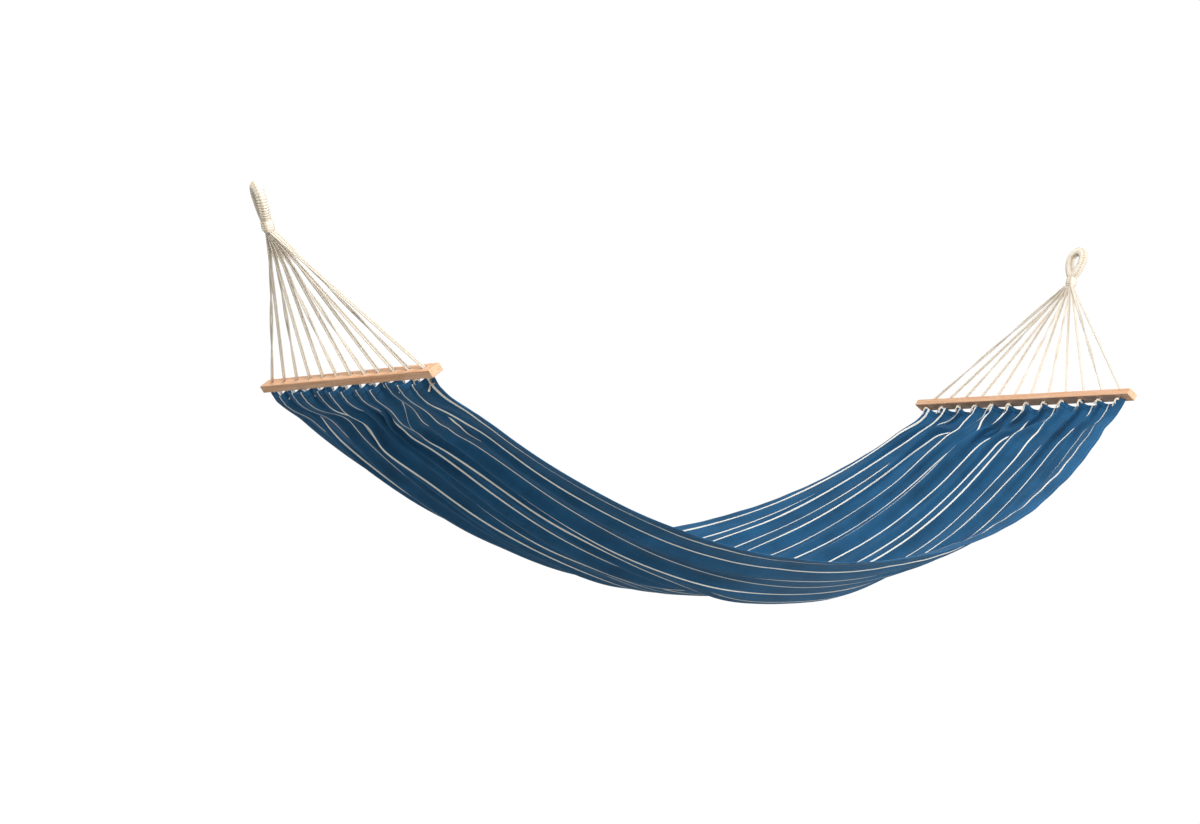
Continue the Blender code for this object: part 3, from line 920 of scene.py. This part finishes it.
@dataclass
class BedHalf:
    """Half of the cloth, from its bar to the middle: flat canvas gathered onto twelve cords and let sag.

    u runs across the flat cloth and v along it from the end hem, both in metres. Each crosswise line keeps
    its true length: its slope at u is the trough's slope plus the folds' slope, and the folds are as deep as
    it takes for the line to reach from edge to edge.
    """

    end: End
    canvas: bpy.types.Material
    hem_canvas: bpy.types.Material
    pleats: tuple[Pleat, ...]
    seed: int
    edge_roll: float
    cloth_width: float = 1.12
    cloth_length: float = 1.10
    end_in: float = 0.0235
    end_drop: float = 0.028
    end_half_width: float = 0.375
    middle_half_width: float = 0.530
    front_sag: float = 0.376
    rear_sag: float = 0.3206
    front_fullness: float = 0.13
    rear_fullness: float = 0.07
    trough: float = 0.104
    top_drop: float = 0.012  # from the bar's middle down to the top of the hem
    base_drop: float = 0.036
    hem_depth: float = 0.013
    slit_from: float = 0.0145
    slit_to: float = 0.036
    slit_gap: float = 0.0032
    margin: float = 0.021
    middle_roll: float = 0.35
    pinch: float = 2.2  # how much of the gathering at the hem is pinched behind the cords
    dip: float = 0.0075  # how far the end hem hangs away from the bar between two cords
    thickness: float = 0.0011
    side_hem: float = 0.028
    columns_per_gap: int = 20
    margin_columns: int = 5
    rows: int = 150
    run_samples: int = 2001
    section_samples: int = 1121
    halvings: int = 26  # of the range in which a line's fold depth is looked for
    steepest: float = 1.9  # slope angle of a fold, in radians
    roll_width: float = 0.030
    levelled: float = 0.6  # of the half's length, from where the long folds give way to the middle's waves
    crease_height: float = 0.00035

    def __post_init__(self) -> None:
        """Place the columns so that every attachment has one, and the rows closer near the bar."""
        pairs = self.end.pairs
        gaps = (self.cloth_width - 2 * self.margin) / (pairs - 1)
        inner = np.linspace(
            self.margin, self.cloth_width - self.margin, (pairs - 1) * self.columns_per_gap + 1
        )
        low = np.linspace(0.0, self.margin, self.margin_columns + 1)[:-1]
        high = np.linspace(self.cloth_width - self.margin, self.cloth_width, self.margin_columns + 1)[1:]
        self.u = np.concatenate([low, inner, high])
        self.attached = self.margin_columns + np.arange(pairs) * self.columns_per_gap
        self.gap = gaps
        t = np.linspace(0.0, 1.0, self.rows)
        self.v = self.cloth_length * (0.55 * t + 0.45 * t**1.9)

    def centre_line(self, v: np.ndarray) -> tuple[np.ndarray, np.ndarray]:
        """Follow the cloth lengthwise.

        Args:
            v: distances along the cloth from the end hem.

        Returns:
            How far each lies along the hem's stub of cloth, from 0 to its length, and how far along the
            sagging bed, from 1 at the bar to 0 in the middle.
        """
        stub = self.base_drop - self.top_drop
        a = np.linspace(1.0, 0.0, self.run_samples)
        fall = 1.0 - a * a
        sag = (self.front_sag + self.rear_sag) / 2 + self.trough * 0.5
        x = a * (self.end.bar_span / 2 - self.end_in)
        z = -sag * fall
        run = np.concatenate([[0.0], np.cumsum(np.hypot(np.diff(x), np.diff(z)))])
        run *= (self.cloth_length - stub) / run[-1]
        return np.minimum(v, stub), np.interp(v - stub, run, a)

    def fold_slope(self, u: np.ndarray, q: np.ndarray) -> np.ndarray:
        """The folds' slope pattern, before it is scaled to the gathered width.

        At the hem the cloth is pinched at each cord: with p the phase from cord to cord, its slope there is
        -sin(p) exp(k (cos(p) - 1)). Further down, the pinches run together into the long folds, which lie
        opposite ways on the two halves and level out into common waves in the middle.

        Args:
            u: places across the cloth, shape (1, columns).
            q: v over the half's length, shape (rows, 1).

        Returns:
            The pattern, shape (rows, columns).
        """
        random = np.random.default_rng(self.seed)
        phase = (u - self.margin) / self.gap * math.tau
        waves = [
            random.uniform(0.3, 0.6) * np.sin(phase * (k + 2) / 14.3 + random.uniform(0, math.tau))
            for k in range(5)
        ]
        uneven = 1.0 + 0.45 * sum(waves)
        turned = phase + 2.2 * sum(waves[1:4]) * smooth_step(q, 0.03, 0.2)
        hem = 1.0 - smooth_step(q, 0.03, 0.32)
        pinches = -hem * uneven * np.sin(turned) * np.exp(2.0 * (np.cos(turned) - 1.0)) * self.pinch
        long = sum(pleat.slope(u, q, self.cloth_width) for pleat in self.pleats) * self.end.side.value
        middle = smooth_step(q, self.levelled, 1.0)
        share = u / self.cloth_width
        common = 0.5 * np.sin(22.0 * share + 0.8) + 0.3 * np.sin(38.0 * share + 2.0)
        return pinches + long * (1.0 - middle) + common * middle

    def rolled_edges(self, u: np.ndarray, q: np.ndarray) -> tuple[np.ndarray, np.ndarray]:
        """The slope by which the front and the rear side edge roll outward, wavering along the bed."""
        waver = 1.0 + 0.05 * np.sin(q * 37.0 + 1.0) + 0.04 * np.sin(q * 83.0)
        lift = self.edge_roll + (self.middle_roll - self.edge_roll) * smooth_step(q, 0.45, 1.0)
        away = lift * smooth_step(q, 0.02, 0.10) * (waver + (1.0 - waver) * smooth_step(q, 0.8, 1.0))
        wide = self.roll_width
        front = away * (np.exp(-((u / wide) ** 2)) - 0.7 * np.exp(-(((u - 2.5 * wide) / wide) ** 2)))
        rear = -0.4 * away * np.exp(-(((self.cloth_width - u) / wide) ** 2))
        return front, rear

    def section(
        self, u: np.ndarray, q: np.ndarray, a: np.ndarray
    ) -> tuple[np.ndarray, np.ndarray, np.ndarray]:
        """Gather each crosswise line of cloth to the width of the bed there.

        Args:
            u: places across the cloth.
            q: v over the half's length, for each row.
            a: the rows' places along the bed, from 1 to 0.

        Returns:
            For each point: its place across the bed, its height in the trough, and its height in the folds.
        """
        q, a, u = q[:, None], a[:, None], u[None, :]
        fine = np.linspace(0.0, self.cloth_width, self.section_samples)[None, :]
        step = fine[0, 1] - fine[0, 0]
        fall = 1.0 - a * a
        half = self.end_half_width + (self.middle_half_width - self.end_half_width) * fall
        depth = self.trough * fall * fall
        s = 2.0 * fine / self.cloth_width - 1.0
        base = np.arctan(3.0 * depth / half * s * np.abs(s))
        inset = np.minimum(fine, self.cloth_width - fine)
        pattern = self.fold_slope(fine, q) * (1.0 - 0.8 * np.exp(-((inset / 0.05) ** 2)))
        most = self.steepest
        low, high = np.zeros_like(half), np.full_like(half, 3.0)
        for _ in range(self.halvings):
            mid = (low + high) / 2
            spread = np.cos(base + np.clip(mid * pattern, -most, most)).sum(axis=1, keepdims=True)
            wide = spread * step > 2 * half
            low, high = np.where(wide, mid, low), np.where(wide, high, mid)
        angle = base + np.clip(low * pattern, -most, most)
        y = running_total(np.cos(angle), step)
        y = (y / y[:, -1:] * 2.0 - 1.0) * half
        rise = running_total(np.sin(angle), step)
        rise = rise - rise[:, -1:] * fine / self.cloth_width
        trough = -depth * (1.0 - np.abs(y / half) ** 3)
        fold = rise - trough
        fold = fold - fold[:, :1]
        for roll, side in zip(self.rolled_edges(fine, q), (-1, 0)):
            turn_y = running_total(np.cos(angle + roll) - np.cos(angle), step)
            turn_z = running_total(np.sin(angle + roll) - np.sin(angle), step)
            y = y + turn_y + side * turn_y[:, -1:]
            fold = fold + turn_z + side * turn_z[:, -1:]
        held = 1.0 - smooth_step(q, 0.035, 0.12)
        ties = self.u[self.attached]
        targets = self.end.hole_y(np.arange(self.end.pairs))
        knots = np.concatenate([[0.0], ties, [self.cloth_width]])
        for row in np.flatnonzero(held[:, 0] > 0.0):
            off_y = targets - np.interp(ties, fine[0], y[row])
            off_n = -np.interp(ties, fine[0], fold[row])
            shift = np.interp(fine[0], knots, np.concatenate([[off_y[0]], off_y, [off_y[-1]]]))
            lift = np.interp(fine[0], knots, np.concatenate([[off_n[0]], off_n, [off_n[-1]]]))
            y[row] += held[row, 0] * shift
            fold[row] += held[row, 0] * lift
        return tuple(
            np.stack([np.interp(u[0], fine[0], row) for row in line]) for line in (y, trough, fold)
        )

    def surface(self, u: np.ndarray, v: np.ndarray) -> np.ndarray:
        """Place the cloth's points: out of the bar along the holes, then along the sagging bed.

        Args:
            u: places across the flat cloth.
            v: places along it, from the end hem.

        Returns:
            Points, shape (rows, columns, 3).
        """
        end = self.end
        side = end.side.value
        stub, a = self.centre_line(v)
        q = v / self.cloth_length
        y, trough, fold = self.section(u, q, a)
        a = a[:, None]
        fall = 1.0 - a * a
        middle_x = end.bar[0] - side * end.bar_span / 2
        half = np.maximum(self.middle_half_width, np.abs(y).max(axis=1, keepdims=True))
        share = np.clip(y / half / 2 + 0.5, 0.0, 1.0)
        front = self.front_sag * fall * (1.0 + self.front_fullness * a * a)
        rear = self.rear_sag * fall * (1.0 + self.rear_fullness * a * a)
        x = middle_x + side * a * (end.bar_span / 2 - self.end_in) + 0.0 * y
        z = end.bar[2] - self.end_drop - front + (front - rear) * share + trough
        points = np.stack([x, y, z], axis=-1)
        points = points + end.hole * ((self.base_drop - self.top_drop) - stub)[:, None, None]
        line = points.mean(axis=1)
        along = unit(np.gradient(line, v, axis=0))
        normal = unit(np.stack([along[:, 2] * side, 0 * along[:, 0], -along[:, 0] * side], axis=-1))
        hem = (1.0 - smooth_step(q, 0.02, 0.10))[:, None]
        normal = unit(normal * (1.0 - hem) + end.width * hem)
        points = points + normal[:, None, :] * fold[..., None]
        random = np.random.default_rng(self.seed + 7)
        between = (u - self.margin) / self.gap
        depths = random.uniform(-0.1, 1.5, self.end.pairs + 2)
        hang = self.dip * depths[np.clip(np.floor(between).astype(int) + 1, 0, self.end.pairs + 1)]
        outside = (between < 0) | (between > self.end.pairs - 1)
        hang = hang * np.where(outside, 0.2, 0.5 - 0.5 * np.cos(between * math.tau))
        slack = (1.0 - smooth_step(q, 0.0, 0.09))[:, None]
        points = points - end.hole * (hang[None, :] * slack)[..., None]
        wave = np.zeros_like(y)
        for _ in range(10):
            across, along_k = random.uniform(60, 190), random.uniform(6, 26)
            wave += random.uniform(0.3, 1.0) * np.sin(
                u[None, :] * across
                + v[:, None] * along_k * random.choice([-1, 1])
                + random.uniform(0, math.tau)
            )
        calm = smooth_step(q, 0.04, 0.12) * (1.0 - smooth_step(q, 0.8, 1.0))
        return points + normal[:, None, :] * (wave * calm[:, None] * self.crease_height)[..., None]

    def build(self) -> list[bpy.types.Object]:
        """Make the half cloth with its buttonholes and its hems, and hide the model's cloth and hem parts."""
        word = self.end.side.word
        cloth = self.cloth()
        front = self.edge_hem("front", rear=False)
        rear = self.edge_hem("rear", rear=True)
        rolled = self.rolled_hem()
        bays = (1, 2) if self.end.side is Side.LEFT else (3, 4)
        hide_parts(*[f"{edge}_cloth_{bay}" for edge in ("front", "rear") for bay in bays])
        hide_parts(*[f"front_side_hem_{bay}" for bay in bays])
        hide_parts(*[f"rear_side_hem_{bay}" for bay in bays])
        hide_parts(f"{word}_end_hem")
        for piece in (cloth, front, rear, rolled):
            self.bend(piece)
        return [cloth, front, rear, rolled]

    def bend(self, piece: bpy.types.Object) -> None:
        """Bake a piece's placing into its mesh."""
        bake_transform(piece)

    def cloth(self) -> bpy.types.Object:
        """The cloth's grid, parted at each attachment into a lens-shaped buttonhole, and thickened."""
        points = self.surface(self.u, self.v)
        rows, columns = points.shape[:2]
        index = np.arange(rows * columns).reshape(rows, columns)
        slit = np.flatnonzero((self.v > self.slit_from) & (self.v < self.slit_to))
        left, right = index.copy(), index.copy()
        across = unit(np.gradient(points, axis=1))
        open_by = self.slit_gap * np.sin(
            math.pi * (self.v[slit] - self.slit_from) / (self.slit_to - self.slit_from)
        )
        extra = []
        count = rows * columns
        for column in self.attached:
            middle = points[slit, column].copy()
            step = across[slit, column] * open_by[:, None]
            points[slit, column] = middle - step
            extra.append(middle + step)
            right[slit, column] = np.arange(count, count + len(slit))
            count += len(slit)
        faces = np.stack(
            [right[:-1, :-1], right[1:, :-1], left[1:, 1:], left[:-1, 1:]], axis=-1
        ).reshape(-1, 4)
        u_at = np.concatenate(
            [np.tile(self.u, rows)] + [np.full(len(slit), self.u[c]) for c in self.attached]
        )
        v_at = np.concatenate([np.repeat(self.v, columns)] + [self.v[slit]] * len(self.attached))
        if self.end.side is Side.RIGHT:
            faces = faces[:, ::-1]
        along = self.along_whole(v_at)
        uv = np.stack([u_at, along], axis=-1)[faces.ravel()]
        name = f"{self.end.side.word}_bed_cloth"
        vertices = np.vstack([points.reshape(-1, 3)] + extra)
        obj = mesh_piece(name, vertices, faces, self.canvas, (CLOTH_MAP, uv))
        solid = obj.modifiers.new("Thickness", "SOLIDIFY")
        solid.thickness = self.thickness
        solid.offset = 0.0
        return settled(obj)

    def along_whole(self, v: np.ndarray) -> np.ndarray:
        """Distance along the whole cloth from its left end."""
        return v if self.end.side is Side.LEFT else 2 * self.cloth_length - v

    def band(self, name: str, u: np.ndarray, v: np.ndarray, fold_axis: int, half: float) -> bpy.types.Object:
        """A hem: the cloth's own surface over a strip, folded over its edge, half above it and half below.

        Args:
            name: the object's name.
            u: places across the cloth, the first at the edge when fold_axis is 1.
            v: places along it, the first at the edge when fold_axis is 0.
            fold_axis: 1 to fold over a side edge, 0 to fold over the end.
            half: half the hem's thickness.

        Returns:
            The hem.
        """
        swap = fold_axis == 0
        order = np.argsort(u)
        points = self.surface(u[order], v)
        points[:, order] = points.copy()
        u_grid, v_grid = np.meshgrid(u, self.along_whole(v))
        if swap:
            points, u_grid, v_grid = points.transpose(1, 0, 2), u_grid.T, v_grid.T
        normal = unit(np.cross(np.gradient(points, axis=1), np.gradient(points, axis=0)))
        outward = unit(points[:, :1] - points[:, 1:2])
        above, below = points + normal * half, points - normal * half
        turns = np.linspace(-math.pi / 2, math.pi / 2, 7)[1:-1]
        edge = [
            points[:, :1] + outward * (half * math.cos(t)) + normal[:, :1] * (half * math.sin(t))
            for t in turns
        ]
        ring = np.concatenate([below[:, ::-1]] + edge + [above], axis=1)
        u_ring = np.concatenate([u_grid[:, ::-1]] + [u_grid[:, :1]] * len(turns) + [u_grid], axis=1)
        v_ring = np.concatenate([v_grid[:, ::-1]] + [v_grid[:, :1]] * len(turns) + [v_grid], axis=1)
        rows, columns = ring.shape[:2]
        index = np.arange(rows * columns).reshape(rows, columns)
        quads = grid_faces(index, wrap_columns=True)
        flat = np.stack([u_ring.ravel(), v_ring.ravel()], axis=-1)
        fold = columns // 2 + 1 if columns % 2 else columns // 2
        low = np.arange(0, fold - 1)
        mate = columns - 1 - low
        caps = []
        for row, way in ((0, 1), (rows - 1, -1)):
            cap = np.stack(
                [index[row, low], index[row, mate], index[row, mate - 1], index[row, low + 1]], axis=1
            )
            caps.append(cap[::way] if way == 1 else cap[:, ::-1])
        quads = np.vstack([quads] + caps)
        obj = mesh_piece(name, ring.reshape(-1, 3), quads, self.hem_canvas, (CLOTH_MAP, flat[quads.ravel()]))
        bpy.context.view_layer.objects.active = obj
        obj.select_set(True)
        bpy.ops.object.mode_set(mode="EDIT")
        bpy.ops.mesh.select_all(action="SELECT")
        bpy.ops.mesh.normals_make_consistent(inside=False)
        bpy.ops.object.mode_set(mode="OBJECT")
        obj.select_set(False)
        return obj

    def edge_hem(self, word: str, rear: bool) -> bpy.types.Object:
        """The stitched hem along one side."""
        u = np.linspace(0.0, self.side_hem, 8)
        u = self.cloth_width - u if rear else u
        return self.band(f"{self.end.side.word}_{word}_hem", u, self.v, 1, 0.0013)

    def rolled_hem(self) -> bpy.types.Object:
        """The hem across the end, which the cords clasp."""
        v = np.linspace(0.0, self.hem_depth, 6)
        return self.band(f"{self.end.side.word}_rolled_hem", self.u, v, 0, 0.0016)


# ---------------------------------------------------------------------------------------------------------
# Studio
# ---------------------------------------------------------------------------------------------------------


@dataclass
class Studio:
    """A white paper sweep under soft light, and the camera."""

    camera_place: tuple[float, float, float] = (-2.1230, -4.5720, -0.6625)
    yaw: float = 0.580
    pitch: float = 0.038
    lens: float = 70.71
    floor_z: float = -1.60
    half_floor: float = 40.0

    def build(self) -> None:
        """Set the floor, the lights, the world and the camera."""
        self.floor()
        self.light("key_softbox", (0.2, -0.6, 3.2), (1.2, 0.1, -0.6), 1.6, 80.0)
        self.light("front_softbox", (-2.6, -5.0, 3.4), (1.2, 0.0, -0.5), 0.9, 360.0)
        self.light("low_softbox", (-5.0, -4.0, -0.9), (0.4, 0.0, -0.4), 2.0, 65.0)
        self.light("side_softbox", (4.2, -4.8, -0.3), (1.2, 0.0, -0.6), 2.0, 190.0)
        self.light("rim_softbox", (5.0, 3.0, 2.2), (1.2, 0.0, -0.6), 2.5, 40.0)
        world = bpy.data.worlds.new("studio")
        world.use_nodes = True
        tree = world.node_tree
        background = tree.nodes["Background"]
        path = add_node(tree, "ShaderNodeLightPath")
        white = add_node(tree, "ShaderNodeBackground", {"Color": (1.0, 1.0, 1.0, 1.0), "Strength": 1.02})
        background.inputs["Color"].default_value = (0.96, 0.98, 1.0, 1.0)
        background.inputs["Strength"].default_value = 0.22
        mixed = add_node(
            tree,
            "ShaderNodeMixShader",
            {0: path.outputs["Is Camera Ray"], 1: background.outputs[0], 2: white.outputs[0]},
        )
        tree.links.new(mixed.outputs[0], tree.nodes["World Output"].inputs["Surface"])
        bpy.context.scene.world = world
        bpy.context.scene.view_settings.view_transform = "Standard"
        self.camera()

    def floor(self) -> None:
        """A plain pale floor, far below the bed, fading into the white round it."""
        size = self.half_floor
        corners = np.array([[-size, -size, 0], [size, -size, 0], [size, size, 0], [-size, size, 0]], float)
        points = corners + np.array([1.2, 0.0, self.floor_z])
        obj = mesh_piece("paper_floor", points, np.array([[0, 1, 2, 3]]), StudioPaper().make())

    def light(
        self,
        name: str,
        place: tuple[float, float, float],
        target: tuple[float, float, float],
        size: float,
        power: float,
    ) -> None:
        """Add a square softbox at a place, facing a target."""
        data = bpy.data.lights.new(name, "AREA")
        data.shape = "SQUARE"
        data.size = size
        data.energy = power
        lamp = bpy.data.objects.new(name, data)
        lamp.location = place
        lamp.rotation_euler = (Vector(target) - Vector(place)).to_track_quat("-Z", "Y").to_euler()
        bpy.context.collection.objects.link(lamp)

    def camera(self) -> None:
        """A level camera to the front left, looking slightly up."""
        data = bpy.data.cameras.new("camera")
        data.lens = self.lens
        data.sensor_width = 36.0
        data.clip_end = 200.0
        camera = bpy.data.objects.new("camera", data)
        camera.location = self.camera_place
        camera.rotation_euler = (math.pi / 2 + self.pitch, 0.0, -self.yaw)
        bpy.context.collection.objects.link(camera)
        bpy.context.scene.camera = camera


def dress_bars(finish: bpy.types.Material) -> None:
    """Give both drilled bars their wood."""
    for side in Side:
        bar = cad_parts[f"{side.word}_spreader_bar"]
        bar.data.materials.clear()
        bar.data.materials.append(finish)


LEFT_PLEATS = (
    Pleat(0.07, 0.10, 0.012, 0.9),
    Pleat(0.17, 0.20, 0.018),
    Pleat(0.27, 0.31, 0.014, ends=1.0),
    Pleat(0.37, 0.40, 0.020),
    Pleat(0.47, 0.51, 0.014, 0.9, ends=0.9),
    Pleat(0.57, 0.60, 0.020),
    Pleat(0.67, 0.69, 0.014, 0.9),
    Pleat(0.78, 0.79, 0.018, 0.9, ends=1.0),
    Pleat(0.89, 0.89, 0.014, 0.8),
)
RIGHT_PLEATS = (
    Pleat(0.08, 0.12, 0.012, 0.7),
    Pleat(0.17, 0.20, 0.014, 0.8, ends=0.9),
    Pleat(0.31, 0.33, 0.020),
    Pleat(0.42, 0.43, 0.014, 0.9, ends=0.9),
    Pleat(0.53, 0.51, 0.022),
    Pleat(0.66, 0.63, 0.014, 0.9, ends=1.0),
    Pleat(0.77, 0.73, 0.018),
    Pleat(0.90, 0.87, 0.013, 0.8),
)


def main() -> None:
    """Build the hammock from its studio and its cords to its cloth, and report each piece."""
    logging.basicConfig(level=logging.INFO, format="%(name)s: %(message)s")
    Studio().build()
    cord = CottonCord().make()
    canvas = StripedCanvas().make()
    hem_canvas = StripedCanvas(name="stitched_canvas_hem", stitched=True).make()
    dress_bars(PlanedBeech().make())
    for side in Side:
        end = End(side)
        left = side is Side.LEFT
        made = CordFan(end, cord).build()
        made += HangingEye(end, cord, math.radians(-16.0) if left else 0.0).build()
        if left:
            half = BedHalf(end, canvas, hem_canvas, LEFT_PLEATS, seed=11, edge_roll=0.15)
        else:
            half = BedHalf(end, canvas, hem_canvas, RIGHT_PLEATS, seed=23, edge_roll=0.7)
            half.front_fullness = 0.35
            half.dip = 0.004
        made += half.build()
        for piece in made:
            LOG.info("%s: %d vertices", piece.name, len(piece.data.vertices))


if __name__ == "__main__":
    main()
